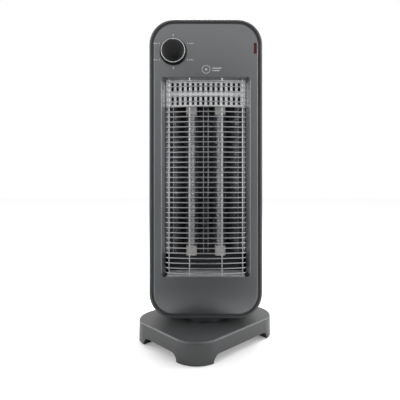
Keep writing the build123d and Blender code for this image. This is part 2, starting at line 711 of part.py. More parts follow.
# Tip-over switch: sprung plunger through the plate, bracket, switch and leaf lever
collar_low = guide_top + plunger_travel + 0.5
collar_high = collar_low + 1.5
bridge_low = ceiling - 6.0
bridge_high = bridge_low + bracket_thickness
stem_top = bridge_high + 1.0
plunger = post(plunger_radius, plunger_x, plunger_y, 0, collar_low)
plunger += post(plunger_radius + 2, plunger_x, plunger_y, collar_low, collar_high)
plunger += post(stem_radius, plunger_x, plunger_y, collar_high, stem_top)
leg_x = plunger_x - bracket_leg
bracket = block(leg_x, plunger_x + bracket_leg, plunger_y - bracket_half, plunger_y + bracket_half,
                bridge_low, bridge_high)
for x0 in (leg_x, plunger_x + bracket_leg - bracket_thickness):
    bracket += block(x0, x0 + bracket_thickness, plunger_y - bracket_half, plunger_y + bracket_half,
                     plate_top, bridge_low)
bracket -= post(stem_radius + 0.3, plunger_x, plunger_y, bridge_low - 1, bridge_high + 1)
tip_body_x = leg_x - 7.0
tip_body = block(tip_body_x, leg_x, plunger_y - 10, plunger_y + 10, plate_top, bridge_high)
leaf = block(tip_body_x + 1, plunger_x + 4, plunger_y - 2, plunger_y + 2, stem_top, stem_top + 0.4)
leaf += block(tip_body_x + 1, tip_body_x + 3, plunger_y - 2, plunger_y + 2, bridge_high, stem_top)
spring_radius = plunger_radius + 0.2
spring_low = collar_high + spring_wire / 2
spring_high = bridge_low - spring_wire / 2
spring_path = Helix(pitch=(spring_high - spring_low) / spring_turns, height=spring_high - spring_low,
                    radius=spring_radius)
spring_face = Plane(spring_path @ 0, z_dir=spring_path % 0) * Circle(spring_wire / 2)
spring = Pos(plunger_x, plunger_y, spring_low) * sweep(spring_face, path=spring_path, is_frenet=True)

# Cord bushing in the base's back wall, and the base's terminal block
bushing_bore = 4.5
bushing = extrude(inlet_axis * Circle(inlet_radius + 2.5), amount=2.5)
bushing += extrude(inlet_axis * Circle(inlet_radius), amount=-9)
bushing = fillet(bushing.edges().group_by(Axis.Y)[-1], 1.2)
bushing -= extrude(inlet_axis * Circle(bushing_bore), amount=20, both=True)
terminal_near = (48.0, -38.0)
terminal_size = (36.0, 18.0, 12.0)
base_terminal = block(terminal_near[0], terminal_near[0] + terminal_size[0], terminal_near[1],
                      terminal_near[1] + terminal_size[1], plate_top, plate_top + terminal_size[2])

base_pieces = {
    "base_cover": base,
    "base_plate": plate,
    "rubber_feet": Compound(children=pads),
    "base_screws": Compound(children=[screw_up(x, y, arch_height, 11.0) for x, y in base_screw_places]),
    "swing_motor": motor,
    "motor_screws": Compound(children=[screw_up(side * ear_x, crank_offset, ear_high, 7.0, -1)
                                       for side in (-1, 1)]),
    "motor_shaft": motor_shaft,
    "crank_lever": lever,
    "crank_roller": roller,
    "bearing_washer": ring(collar_radius - 2, hub_radius + 1, 0, 0, base_height, washer_top),
    "tip_plunger": plunger,
    "tip_spring": spring,
    "tip_switch_bracket": bracket,
    "tip_switch_body": tip_body,
    "tip_switch_lever": leaf,
    "cord_bushing": bushing,
    "base_terminal_block": base_terminal,
}
for name, piece in base_pieces.items():
    parts[name] = Rot(0, 0, base_yaw) * piece

os.makedirs("parts", exist_ok=True)
for name, piece in parts.items():
    export_step(piece, os.path.join("parts", name + ".step"))
print(len(parts), "nodes written")
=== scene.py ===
import json
from math import asin, cos, pi, radians, sin, sqrt

import bmesh
import bpy
from mathutils import Matrix, Vector

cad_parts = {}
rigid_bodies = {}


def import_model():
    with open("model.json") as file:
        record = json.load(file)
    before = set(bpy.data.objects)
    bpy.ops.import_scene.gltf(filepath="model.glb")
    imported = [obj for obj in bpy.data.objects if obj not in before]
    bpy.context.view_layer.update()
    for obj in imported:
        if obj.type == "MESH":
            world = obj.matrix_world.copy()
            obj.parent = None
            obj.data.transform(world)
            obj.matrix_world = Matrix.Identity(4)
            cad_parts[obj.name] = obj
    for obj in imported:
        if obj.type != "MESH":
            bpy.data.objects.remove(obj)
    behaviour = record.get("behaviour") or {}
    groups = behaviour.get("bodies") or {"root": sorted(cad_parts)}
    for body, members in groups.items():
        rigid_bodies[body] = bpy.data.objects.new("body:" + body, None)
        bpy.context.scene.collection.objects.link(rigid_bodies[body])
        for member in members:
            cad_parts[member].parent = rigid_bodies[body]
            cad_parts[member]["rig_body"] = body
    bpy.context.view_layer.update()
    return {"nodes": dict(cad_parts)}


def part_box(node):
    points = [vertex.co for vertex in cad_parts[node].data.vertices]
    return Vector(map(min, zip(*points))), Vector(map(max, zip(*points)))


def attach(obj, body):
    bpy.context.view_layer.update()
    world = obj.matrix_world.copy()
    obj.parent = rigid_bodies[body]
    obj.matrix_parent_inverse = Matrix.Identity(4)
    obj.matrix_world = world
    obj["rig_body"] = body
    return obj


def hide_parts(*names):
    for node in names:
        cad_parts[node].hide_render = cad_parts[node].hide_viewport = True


# Tower heater with two carbon tubes on a swinging base. Metres, +Z up, the
# head's front faces -Y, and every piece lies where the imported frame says.
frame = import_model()
nodes = frame["nodes"]
scene = bpy.context.scene
mm = 0.001
crease = radians(35)


# Helpers for objects and meshes
def new_object(name, data):
    """Object linked into the scene."""
    made = bpy.data.objects.new(name, data)
    scene.collection.objects.link(made)
    return made


def evaluated_mesh(source):
    """Mesh of an object with its modifiers applied."""
    depsgraph = bpy.context.evaluated_depsgraph_get()
    return bpy.data.meshes.new_from_object(source.evaluated_get(depsgraph), depsgraph=depsgraph)


def plain_mesh(piece):
    """The piece with its modifiers turned into mesh."""
    made = evaluated_mesh(piece)
    made.set_sharp_from_angle(angle=crease)
    piece.modifiers.clear()
    piece.data = made
    return piece


def mesh_piece(name, points, faces, material, smooth=False):
    """Mesh object from points and faces, with its faces turned outwards."""
    mesh = bpy.data.meshes.new(name)
    mesh.from_pydata([tuple(p) for p in points], [], faces)
    form = bmesh.new()
    form.from_mesh(mesh)
    bmesh.ops.remove_doubles(form, verts=form.verts, dist=1e-6)
    bmesh.ops.recalc_face_normals(form, faces=form.faces)
    form.to_mesh(mesh)
    form.free()
    if smooth:
        mesh.shade_smooth()
        mesh.set_sharp_from_angle(angle=crease)
    if material:
        mesh.materials.append(material)
    return new_object(name, mesh)


def turned_piece(name, profile, material, centre, segments=96):
    """Piece turned about an axis along Y: profile points are radius and place along the axis."""
    points, rings = [], []
    for radius, along in profile:
        count = 1 if radius < 1e-9 else segments
        rings.append(range(len(points), len(points) + count))
        for i in range(count):
            turn = 2 * pi * i / segments
            points.append(Vector((radius * cos(turn), along, radius * sin(turn))) + Vector(centre))
    faces = []
    for first, second in zip(rings, rings[1:] + rings[:1]):
        for i in range(segments):
            corners = [first[i % len(first)], first[(i + 1) % len(first)],
                       second[(i + 1) % len(second)], second[i % len(second)]]
            corners = list(dict.fromkeys(corners))
            if len(corners) > 2:
                faces.append(corners)
    return mesh_piece(name, points, faces, material, smooth=True)


# Helpers for materials
def srgb(code):
    """Linear colour of an sRGB hex value."""
    channels = [int(code[i:i + 2], 16) / 255 for i in (1, 3, 5)]
    return [c / 12.92 if c <= 0.04045 else ((c + 0.055) / 1.055) ** 2.4 for c in channels] + [1.0]


def add(tree, kind, sockets=None, **settings):
    """Adds a node, sets its properties, and fills or links its sockets."""
    node = tree.nodes.new(kind)
    for name, value in settings.items():
        setattr(node, name, value)
    for key, value in (sockets or {}).items():
        if isinstance(value, bpy.types.NodeSocket):
            tree.links.new(value, node.inputs[key])
        else:
            node.inputs[key].default_value = value
    return node


def node_of(tree, kind):
    """The tree's node of a kind that it holds once."""
    return next(node for node in tree.nodes if node.type == kind)


def empty_material(name):
    """New material with the node tree cleared."""
    material = bpy.data.materials.new(name)
    material.use_nodes = True
    material.node_tree.nodes.clear()
    return material


def finish(name, colour, drift, grain, relief, gloss, edge=0.0, edge_colour=None, stretch=(1, 1, 1),
           cloud=0.05, **shader):
    """Material whose colour drifts to a second one over a cloud size, with roughness between two
    values, a relief of that grain and depth, and edges painted in the edge colour where an edge
    width is given, partly for rubbed wear and partly as a painted highlight on rounded edges."""
    material = empty_material(name)
    tree = material.node_tree
    place = add(tree, "ShaderNodeTexCoord").outputs["Object"]
    laid = add(tree, "ShaderNodeMapping", {"Vector": place, "Scale": stretch}).outputs["Vector"]
    patch = add(tree, "ShaderNodeTexNoise", {"Vector": laid, "Scale": 1 / cloud, "Detail": 3.0})
    grit = add(tree, "ShaderNodeTexNoise", {"Vector": laid, "Scale": 1 / grain, "Detail": 2.0})
    tint = add(tree, "ShaderNodeMix", {0: patch.outputs["Fac"], 6: srgb(colour), 7: srgb(drift)},
               data_type="RGBA").outputs[2]
    rough = add(tree, "ShaderNodeMapRange", {"Value": grit.outputs["Fac"], "From Min": 0.3,
                                             "From Max": 0.7, "To Min": gloss[0], "To Max": gloss[1]})
    bump = add(tree, "ShaderNodeBump", {"Height": grit.outputs["Fac"], "Distance": relief,
                                        "Strength": 1.0})
    # Edges painted lighter in the edge colour, in patches: partly rubbed wear, partly painted highlight.
    if edge:
        soft = add(tree, "ShaderNodeBevel", {"Radius": edge}, samples=4).outputs["Normal"]
        tree.links.new(soft, bump.inputs["Normal"])
        true = add(tree, "ShaderNodeNewGeometry").outputs["Normal"]
        turned = add(tree, "ShaderNodeVectorMath", {0: soft, 1: true}, operation="DOT_PRODUCT")
        edge_wear_and_highlight = add(tree, "ShaderNodeMapRange", {"Value": turned.outputs["Value"], "From Min": 0.80,
                                                "From Max": 0.985, "To Min": 1.0, "To Max": 0.0})
        patchy = add(tree, "ShaderNodeMath", {0: edge_wear_and_highlight.outputs["Result"], 1: patch.outputs["Fac"]},
                     operation="MULTIPLY")
        tint = add(tree, "ShaderNodeMix", {0: patchy.outputs[0], 6: tint, 7: srgb(edge_colour)},
                   data_type="RGBA").outputs[2]
    surface = add(tree, "ShaderNodeBsdfPrincipled", {"Base Color": tint,
                                                     "Roughness": rough.outputs["Result"],
                                                     "Normal": bump.outputs["Normal"]})
    for key, value in shader.items():
        surface.inputs[key.replace("_", " ")].default_value = value
    add(tree, "ShaderNodeOutputMaterial", {"Surface": surface.outputs[0]}, name="out")
    return material


def tint_over(material, share, colour):
    """Mixes another colour over a finish's own, by a share from 0 to 1."""
    tree = material.node_tree
    surface = node_of(tree, "BSDF_PRINCIPLED")
    even = surface.inputs["Base Color"].links[0].from_socket
    mixed = add(tree, "ShaderNodeMix", {0: share, 6: even, 7: srgb(colour)}, data_type="RGBA")
    tree.links.new(mixed.outputs[2], surface.inputs["Base Color"])


def cells(tree, size):
    """Distance from the middle of the nearest of many cells of about that size."""
    place = add(tree, "ShaderNodeTexCoord").outputs["Object"]
    return add(tree, "ShaderNodeTexVoronoi", {"Vector": place, "Scale": 1 / size}).outputs["Distance"]


def sheet_metal(name, colour, drift, gloss, roll, ripple, metallic=1.0):
    """Bright rolled sheet: fine lines along the rolling direction over slow ripples, with edges and
    folds painted near white as a painted highlight.
    """
    ripple_length = 24 * mm
    material = finish(name, colour, drift, grain=1.6 * mm, relief=0.006 * mm, gloss=gloss, stretch=roll,
                      edge=0.4 * mm, edge_colour="#f2f3f3", Metallic=metallic)
    tree = material.node_tree
    place = add(tree, "ShaderNodeTexCoord").outputs["Object"]
    long = add(tree, "ShaderNodeMapping", {"Vector": place, "Scale": roll}).outputs["Vector"]
    wave = add(tree, "ShaderNodeTexNoise", {"Vector": long, "Scale": 1 / ripple_length, "Detail": 1.0})
    fine = node_of(tree, "BUMP")
    slow = add(tree, "ShaderNodeBump", {"Height": wave.outputs["Fac"], "Distance": ripple,
                                        "Strength": 1.0, "Normal": fine.outputs["Normal"]})
    tree.links.new(slow.outputs["Normal"], node_of(tree, "BSDF_PRINCIPLED").inputs["Normal"])
    return material


# Helpers for pieces that stand for CAD nodes, or dress them
def join_body(piece, body, stands_for=()):
    """Sets a finished piece on its body, and hides the CAD nodes it stands for."""
    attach(piece, body)
    if stands_for:
        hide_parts(*stands_for)
    return piece


def skin(node, material, bend=28.0):
    """Moulded skin that stands for a CAD node: its merged copy, smooth up to a bend in degrees."""
    mesh = nodes[node].data.copy()
    form = bmesh.new()
    form.from_mesh(mesh)
    bmesh.ops.remove_doubles(form, verts=form.verts, dist=2e-6)
    form.to_mesh(mesh)
    form.free()
    if "custom_normal" in mesh.attributes:
        mesh.attributes.remove(mesh.attributes["custom_normal"])
    mesh.shade_smooth()
    mesh.set_sharp_from_angle(angle=radians(bend))
    mesh.materials.clear()
    mesh.materials.append(material)
    rough_cast = new_object(node + "_cast", mesh)
    rough_cast.modifiers.new("even normals", "WEIGHTED_NORMAL").keep_sharp = True
    even = evaluated_mesh(rough_cast)
    bpy.data.objects.remove(rough_cast)
    return join_body(new_object(node + "_skin", even), nodes[node]["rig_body"], [node])


def coat(material, *names):
    """Gives CAD nodes that stay as they are a finish."""
    for name in names:
        nodes[name].data.materials.clear()
        nodes[name].data.materials.append(material)


# Helpers for shapes that geometry nodes repeat or raise
def geometry_tree(name, inputs):
    """Empty geometry tree with named inputs, given as name to socket type and first value."""
    tree = bpy.data.node_groups.new(name, "GeometryNodeTree")
    tree.interface.new_socket("Geometry", in_out="INPUT", socket_type="NodeSocketGeometry")
    for key, (kind, value) in inputs.items():
        socket = tree.interface.new_socket(key, in_out="INPUT", socket_type="NodeSocket" + kind)
        if value is not None:
            socket.default_value = value
    tree.interface.new_socket("Geometry", in_out="OUTPUT", socket_type="NodeSocketGeometry")
    return tree, add(tree, "NodeGroupInput").outputs


def closed_tree(tree, geometry, material):
    """The tree, with its geometry coated and sent out."""
    coated = add(tree, "GeometryNodeSetMaterial", {"Geometry": geometry, "Material": material})
    add(tree, "NodeGroupOutput", {"Geometry": coated.outputs[0]})
    return tree


def grown(name, points, edges, tree, **values):
    """Plain mesh that a geometry tree grows from points and edges."""
    mesh = bpy.data.meshes.new(name)
    mesh.from_pydata([tuple(p) for p in points], edges, [])
    piece = new_object(name, mesh)
    modifier = piece.modifiers.new("grown", "NODES")
    modifier.node_group = tree
    for socket in tree.interface.items_tree:
        if socket.in_out == "INPUT" and socket.name in values:
            modifier[socket.identifier] = values[socket.name]
    return plain_mesh(piece)


def chain(points):
    """Edges that join points in a row."""
    return [(i, i + 1) for i in range(len(points) - 1)]


# Camera: level, square to the head's front and a little to one side of the
# picture's middle, near enough to look down on the base as the photograph does.
camera_distance = 0.790
camera_height = 0.3257
focal_length = 33.76
camera_data = bpy.data.cameras.new("camera")
camera = new_object("camera", camera_data)
scene.camera = camera
camera.location = (0, -camera_distance, camera_height)
camera.rotation_euler = (radians(90), 0, 0)
camera_data.lens = focal_length
camera_data.shift_x = -0.0145
camera_data.shift_y = -0.05
scene.view_settings.view_transform = "Standard"

# Base cover and base plate: ABS injection mouldings. The mould's spark-eroded
# face leaves a fine even grain, so light spreads softly. The rounded edges are
# painted lighter, a painted highlight for the thin bright line that the top
# edge catches.
base_abs = finish("moulded_abs_base", "#393a3b", "#3f4041", grain=0.9 * mm, relief=0.025 * mm,
                  gloss=(0.34, 0.46), edge=1.2 * mm, edge_colour="#7b7c7e", IOR=1.53)
skin("base_cover", base_abs)
plate_abs = finish("moulded_abs_base_plate", "#2c2d2e", "#333435", grain=1.1 * mm, relief=0.03 * mm,
                   gloss=(0.5, 0.62), edge=0.6 * mm, edge_colour="#4a4b4c", IOR=1.53)
skin("base_plate", plate_abs)

# Foot pads and cord bushing: black rubber, moulded, with a bloomed matt face
# that shows pale where it is bent or rubbed.
pad_rubber = finish("moulded_rubber_pads", "#18181a", "#222224", grain=0.7 * mm, relief=0.04 * mm,
                    gloss=(0.7, 0.85), edge=0.4 * mm, edge_colour="#343436", IOR=1.52)
coat(pad_rubber, "rubber_feet")
bushing_rubber = finish("moulded_rubber_bushing", "#131314", "#1d1d1f", grain=0.8 * mm, relief=0.03 * mm,
                        gloss=(0.6, 0.75), edge=0.4 * mm, edge_colour="#303032", IOR=1.52)
skin("cord_bushing", bushing_rubber, bend=40)

# Swing drive and the small parts of the switches: synchronous motor in a
# plated steel can, steel shafts, crank, spring and leaf, and a nylon roller,
# plunger and lamp holder.
motor_plate = finish("zinc_plated_can", "#b9bbb8", "#a9aba6", grain=1.5 * mm, relief=0.01 * mm,
                     gloss=(0.28, 0.40), edge=0.5 * mm, edge_colour="#d8dad6", Metallic=1.0)
coat(motor_plate, "swing_motor")
turned_steel = finish("turned_steel", "#a2a3a5", "#8f9092", grain=0.5 * mm, relief=0.008 * mm,
                      gloss=(0.25, 0.38), stretch=(1, 1, 8), Metallic=1.0)
coat(turned_steel, "motor_shaft", "crank_lever", "switch_shaft", "tip_spring", "tip_switch_lever")
nylon = finish("moulded_nylon", "#dcd8cc", "#d2cdbf", grain=1.2 * mm, relief=0.01 * mm,
               gloss=(0.35, 0.5), Subsurface_Weight=0.12, Subsurface_Scale=2 * mm, IOR=1.53)
coat(nylon, "crank_roller", "tip_plunger", "lamp_holder")

# Galvanised steel sheet: the swing arm, clamp plate, tip switch bracket and
# heat shield are stamped from it. Zinc crystals a few millimetres across turn
# the light patch by patch.
zinc_crystal = 7 * mm
zinc_sheet = finish("galvanised_steel", "#a4a8aa", "#94989b", grain=1.0 * mm, relief=0.01 * mm,
                    gloss=(0.34, 0.46), edge=0.4 * mm, edge_colour="#c6c9ca", Metallic=1.0)
tint_over(zinc_sheet, cells(zinc_sheet.node_tree, zinc_crystal), "#c2c6c8")
coat(zinc_sheet, "swing_arm", "hub_clamp_plate", "tip_switch_bracket", "heat_shield")

# Switches, terminal blocks and the switch's nut: black polyamide mouldings,
# glossy where the mould was polished, ivory steatite blocks and turned brass.
switch_black = finish("moulded_switch_polyamide", "#1d1e20", "#26272a", grain=0.8 * mm,
                      relief=0.01 * mm, gloss=(0.32, 0.45), edge=0.4 * mm, edge_colour="#3a3b3e",
                      IOR=1.53)
coat(switch_black, "rotary_switch", "tip_switch_body", "thermal_cutout")
terminal_ivory = finish("moulded_terminal_steatite", "#e3ddcd", "#d8d0bd", grain=0.9 * mm,
                        relief=0.015 * mm, gloss=(0.3, 0.45), edge=0.4 * mm, edge_colour="#f0ece0",
                        IOR=1.58)
coat(terminal_ivory, "base_terminal_block", "head_terminal_block")
brass = finish("turned_brass", "#d1ab62", "#c39b52", grain=0.6 * mm, relief=0.006 * mm,
               gloss=(0.2, 0.32), edge=0.3 * mm, edge_colour="#e6c98a", Metallic=1.0)
coat(brass, "switch_nut")

# Swivel hub: black acetal turning in the base's bore, with the collar that
# fills the gap under the head. It is smooth and slightly waxy, and the bearing
# washer under it is of the same stuff.
hub_acetal = finish("moulded_acetal_hub", "#26272a", "#2e2f31", grain=1.0 * mm, relief=0.012 * mm,
                    gloss=(0.34, 0.44), edge=0.5 * mm, edge_colour="#47484a", IOR=1.48)
skin("swivel_hub", hub_acetal)
coat(hub_acetal, "bearing_washer")

# Front housing and rear cover: the head's two ABS shells, dark grey through
# and through, with the same fine grain as the base but a shade lighter.
housing_abs = finish("moulded_abs_head", "#464749", "#4c4d4f", grain=0.9 * mm, relief=0.02 * mm,
                     gloss=(0.30, 0.42), edge=0.8 * mm, edge_colour="#6d6e70", IOR=1.53)
skin("front_housing", housing_abs)
skin("rear_cover", housing_abs)


# Louvre blades: moulded in the rear cover behind each slot and sloping, so
# that air passes and fingers and daylight don't.
def blade_tree():
    """One sloping blade on every point of the source."""
    tree, given = geometry_tree("louvre_blades", {"Width": ("Float", 0.05), "Reach": ("Float", 0.006),
                                                  "Thickness": ("Float", 0.001), "Slope": ("Float", 0.8),
                                                  "Finish": ("Material", None)})
    size = add(tree, "ShaderNodeCombineXYZ", {"X": given["Width"], "Y": given["Reach"],
                                              "Z": given["Thickness"]})
    blade = add(tree, "GeometryNodeMeshCube", {"Size": size.outputs[0]})
    half = add(tree, "ShaderNodeMath", {0: given["Reach"], 1: -0.5}, operation="MULTIPLY")
    inward = add(tree, "ShaderNodeCombineXYZ", {"Y": half.outputs[0]})
    rooted = add(tree, "GeometryNodeTransform", {"Geometry": blade.outputs[0],
                                                 "Translation": inward.outputs[0]})
    turn = add(tree, "ShaderNodeCombineXYZ", {"X": given["Slope"]})
    tilted = add(tree, "GeometryNodeTransform", {"Geometry": rooted.outputs[0],
                                                 "Rotation": turn.outputs[0]})
    placed = add(tree, "GeometryNodeInstanceOnPoints", {"Points": given["Geometry"],
                                                        "Instance": tilted.outputs[0]})
    real = add(tree, "GeometryNodeRealizeInstances", {0: placed.outputs[0]})
    return closed_tree(tree, real.outputs[0], given["Finish"])


louvre_width = 48 * mm
louvre_gap = 8 * mm
louvre_pitch = 9 * mm
louvre_height = 4 * mm
louvre_rows = 8
louvre_columns = 3
louvre_field_lows = (490 * mm, 112 * mm)
cover_wall = 2.5 * mm
blade_set = 0.4 * mm
blade_overlap = 2 * mm
rear_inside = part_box("rear_cover")[1].y - cover_wall
blade_roots = [((column - (louvre_columns - 1) / 2) * (louvre_width + louvre_gap),
                rear_inside + blade_set,
                low + row * louvre_pitch + louvre_height / 2 + blade_set)
               for low in louvre_field_lows for row in range(louvre_rows)
               for column in range(louvre_columns)]
blades = grown("louvre_blades", blade_roots, [], blade_tree(), Width=louvre_width + blade_overlap,
               Reach=8.0 * mm, Thickness=1.1 * mm, Slope=radians(42), Finish=housing_abs)
join_body(blades, "head")

# Front panel: ABS facing sprayed with a metallic lacquer. Aluminium flakes in
# a grey coat give a soft metallic sheen that follows the lamps at the sides,
# under a thin clear coat. Its rounded edges are painted pale, a painted
# highlight along the top edge and the window's edges.
flake_size = 0.8 * mm
lacquer = finish("metallic_lacquer", "#737476", "#787a7b", grain=0.45 * mm, relief=0.004 * mm,
                 gloss=(0.30, 0.38), edge=0.9 * mm, edge_colour="#d4d5d6", cloud=0.25,
                 Metallic=0.85, Coat_Weight=0.2, Coat_Roughness=0.2)
spark = add(lacquer.node_tree, "ShaderNodeMapRange", {"Value": cells(lacquer.node_tree, flake_size),
                                                      "From Min": 0.0, "From Max": 0.5,
                                                      "To Min": 0.12, "To Max": 0.0})
tint_over(lacquer, spark.outputs["Result"], "#b9babc")
skin("front_panel", lacquer)
panel_low, panel_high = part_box("front_panel")
front_y = panel_low.y
window_back_y = panel_high.y

# Window side trims: strips of bright rolled aluminium that line the window's
# side walls and throw the heat forward.
bright_aluminium = sheet_metal("bright_rolled_aluminium", "#c6c7c9", "#b6b7b9", gloss=(0.3, 0.4),
                               roll=(1, 1, 0.15), ripple=0.08 * mm)
window_half = 88.65 * mm
window_back_half = 82.55 * mm
window_low = 133.0 * mm
window_high = 529.8 * mm
trim_gap = 0.15 * mm
trim_sheet = 0.4 * mm
trim_setback = 0.6 * mm
corner_keep = 6.5 * mm
for side, side_name in ((-1, "left"), (1, "right")):
    outer = [(window_half - trim_gap, front_y + trim_setback),
             (window_back_half - trim_gap, window_back_y)]
    inner = [(x - trim_sheet, y) for x, y in outer]
    section = outer + inner[::-1]
    ends = (window_low + corner_keep, window_high - corner_keep)
    points = [(side * x, y, z) for z in ends for x, y in section]
    walls = [(i, (i + 1) % 4, 4 + (i + 1) % 4, 4 + i) for i in range(4)] + [(3, 2, 1, 0), (4, 5, 6, 7)]
    trim = mesh_piece("window_trim_" + side_name, points, walls, bright_aluminium)
    join_body(trim, "head")


# Wire guard: chrome-plated steel wire, drawn, cut and bowed outwards, its ends
# turned back into the housing and spot-welded to four upright rods.
def wire_tree():
    """Round wire along the source's edges, repeated upwards."""
    tree, given = geometry_tree("wire_rows", {"Diameter": ("Float", 2.2 * mm), "Sides": ("Int", 10),
                                              "Count": ("Int", 1), "Pitch": ("Float", 0.01),
                                              "Finish": ("Material", None)})
    path = add(tree, "GeometryNodeMeshToCurve", {"Mesh": given["Geometry"]})
    radius = add(tree, "ShaderNodeMath", {0: given["Diameter"], 1: 0.5}, operation="MULTIPLY")
    section = add(tree, "GeometryNodeCurvePrimitiveCircle", {"Resolution": given["Sides"],
                                                             "Radius": radius.outputs[0]})
    tube = add(tree, "GeometryNodeCurveToMesh", {"Curve": path.outputs[0], "Fill Caps": True,
                                                 "Profile Curve": section.outputs[0]})
    step = add(tree, "ShaderNodeCombineXYZ", {"Z": given["Pitch"]})
    rows = add(tree, "GeometryNodeMeshLine", {"Count": given["Count"], "Offset": step.outputs[0]})
    placed = add(tree, "GeometryNodeInstanceOnPoints", {"Points": rows.outputs[0],
                                                        "Instance": tube.outputs[0]})
    real = add(tree, "GeometryNodeRealizeInstances", {0: placed.outputs[0]})
    smooth = add(tree, "GeometryNodeSetShadeSmooth", {"Geometry": real.outputs[0]})
    return closed_tree(tree, smooth.outputs[0], given["Finish"])


chrome = finish("chrome_plated_wire", "#b6b7b9", "#aaabad", grain=1.5 * mm, relief=0.004 * mm,
                gloss=(0.26, 0.34), stretch=(0.2, 1, 1), Metallic=1.0)
wire = 2.2 * mm
wire_pitch = 10.05 * mm
wire_count = 39
bow_front = -46.5 * mm
bow = 7.5 * mm
bow_half = 75.2 * mm
bow_steps = 32
bend_steps = 6
end_half = 80.8 * mm
end_run = 3.0 * mm
inner_rod_x = 32.4 * mm
outer_rod_x = 74.0 * mm
sheet = 0.8 * mm
bow_radius = (bow_half ** 2 + bow ** 2) / (2 * bow)
bow_centre = bow_front + bow_radius
bow_angle = asin(bow_half / bow_radius)
bend_radius = (end_half - bow_half) / (1 - sin(bow_angle))
bend_x = end_half - bend_radius
bend_y = bow_front + bow + bend_radius * cos(bow_angle)
half_wire = []
for i in range(bow_steps + 1):
    turn = bow_angle * i / bow_steps
    half_wire.append(Vector((bow_radius * sin(turn), bow_centre - bow_radius * cos(turn), 0)))
for i in range(1, bend_steps + 1):
    turn = bow_angle + (pi / 2 - bow_angle) * i / bend_steps
    half_wire.append(Vector((bend_x + bend_radius * sin(turn), bend_y - bend_radius * cos(turn), 0)))
half_wire.append(Vector((end_half, bend_y + end_run, 0)))
wire_line = [Vector((-p.x, p.y, 0)) for p in reversed(half_wire[1:])] + half_wire
guard_low, guard_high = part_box("guard")
first_wire = (guard_low.z + guard_high.z) / 2 - wire_pitch * (wire_count - 1) / 2
wires_tree = wire_tree()
wires = grown("guard_wires", [p + Vector((0, 0, first_wire)) for p in wire_line], chain(wire_line),
              wires_tree, Diameter=wire, Count=wire_count, Pitch=wire_pitch, Finish=chrome)
join_body(wires, "head", ["guard"])

# The rods lie one wire's width behind the wires, and end at the upper face of
# the lower ledge's sheet.
rod_arc = bow_radius - wire
rod_points = []
for rod_x in (-outer_rod_x, -inner_rod_x, inner_rod_x, outer_rod_x):
    rod_y = bow_centre - sqrt(rod_arc ** 2 - rod_x ** 2)
    rod_points += [(rod_x, rod_y, guard_low.z + sheet), (rod_x, rod_y, guard_high.z)]
rod_edges = [(i, i + 1) for i in range(0, len(rod_points), 2)]
rods = grown("guard_rods", rod_points, rod_edges, wires_tree, Diameter=wire, Finish=chrome)
join_body(rods, "head")


# Reflector: one aluminium sheet, polished and folded on a press brake into a
# trough behind each tube with a ridge between them. Its folds are rounded.
def folded_tree():
    """Sheet raised from a folded plan, with rounded folds."""
    tree, given = geometry_tree("folded_sheet", {"Fold Radius": ("Float", 1 * mm),
                                                 "Height": ("Float", 0.3),
                                                 "Finish": ("Material", None)})
    plan = add(tree, "GeometryNodeMeshToCurve", {"Mesh": given["Geometry"]})
    round_plan = add(tree, "GeometryNodeFilletCurve", {"Curve": plan.outputs[0], "Count": 6,
                                                       "Radius": given["Fold Radius"]}, mode="POLY")
    line = add(tree, "GeometryNodeCurveToMesh", {"Curve": round_plan.outputs[0]})
    rise = add(tree, "ShaderNodeCombineXYZ", {"Z": given["Height"]})
    wall = add(tree, "GeometryNodeExtrudeMesh", {"Mesh": line.outputs[0], "Offset": rise.outputs[0]},
               mode="EDGES")
    smooth = add(tree, "GeometryNodeSetShadeSmooth", {"Geometry": wall.outputs[0]})
    real = add(tree, "GeometryNodeRealizeInstances", {0: smooth.outputs[0]})
    return closed_tree(tree, real.outputs[0], given["Finish"])


# The reflector's colour is painted well darker than polished aluminium, a painted shade that stands for
# the dark surroundings it reflects.
mirror_aluminium_painted_shade = sheet_metal("polished_aluminium_reflector", "#7d7e81", "#6f7073", gloss=(0.1, 0.17),
                               roll=(1, 1, 0.04), ripple=0.1 * mm)
fold_radius = 1.6 * mm
half_fold = [(5, 30), (16, 52), (42, 52), (66, 19), (81, 19), (82.5, 24), (102, 24)]
folds = [(-x, d) for x, d in reversed(half_fold)] + half_fold
reflector_low, reflector_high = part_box("reflector")
fold_points = [(x * mm, front_y + d * mm + sheet / 2, reflector_low.z) for x, d in folds]
reflector = grown("reflector_sheet", fold_points, chain(fold_points), folded_tree(),
                  **{"Fold Radius": fold_radius, "Height": reflector_high.z - reflector_low.z,
                     "Finish": mirror_aluminium_painted_shade})
thick = reflector.modifiers.new("sheet thickness", "SOLIDIFY")
thick.thickness = sheet
thick.offset = 0
plain_mesh(reflector)
join_body(reflector, "head", ["reflector"])

# Vent plate and lower ledge: tinned steel sheet, stamped and punched. The ledge
# is a paler, matt copy of the plate's sheet, painted light to stand for the
# light it catches. The baffle behind the tubes' lower ends is blued steel and dark.
tinned = sheet_metal("tinned_steel_sheet", "#f0f1f2", "#e4e5e6", gloss=(0.36, 0.5), roll=(0.3, 1, 1),
                     ripple=0.1 * mm, metallic=0.35)
coat(tinned, "vent_plate")
ledge_tin_painted_light = sheet_metal("tinned_steel_ledge_painted_light", "#fcfcfc", "#f4f4f5", gloss=(0.42, 0.52),
                         roll=(0.3, 1, 1), ripple=0.05 * mm, metallic=0.0)
coat(ledge_tin_painted_light, "lower_ledge")
dull_sheet = finish("blued_steel_sheet", "#3c3e42", "#4a4c50", grain=1.4 * mm, relief=0.01 * mm,
                    gloss=(0.35, 0.5), edge=0.4 * mm, edge_colour="#7d8084", Metallic=1.0)
coat(dull_sheet, "lower_baffle")

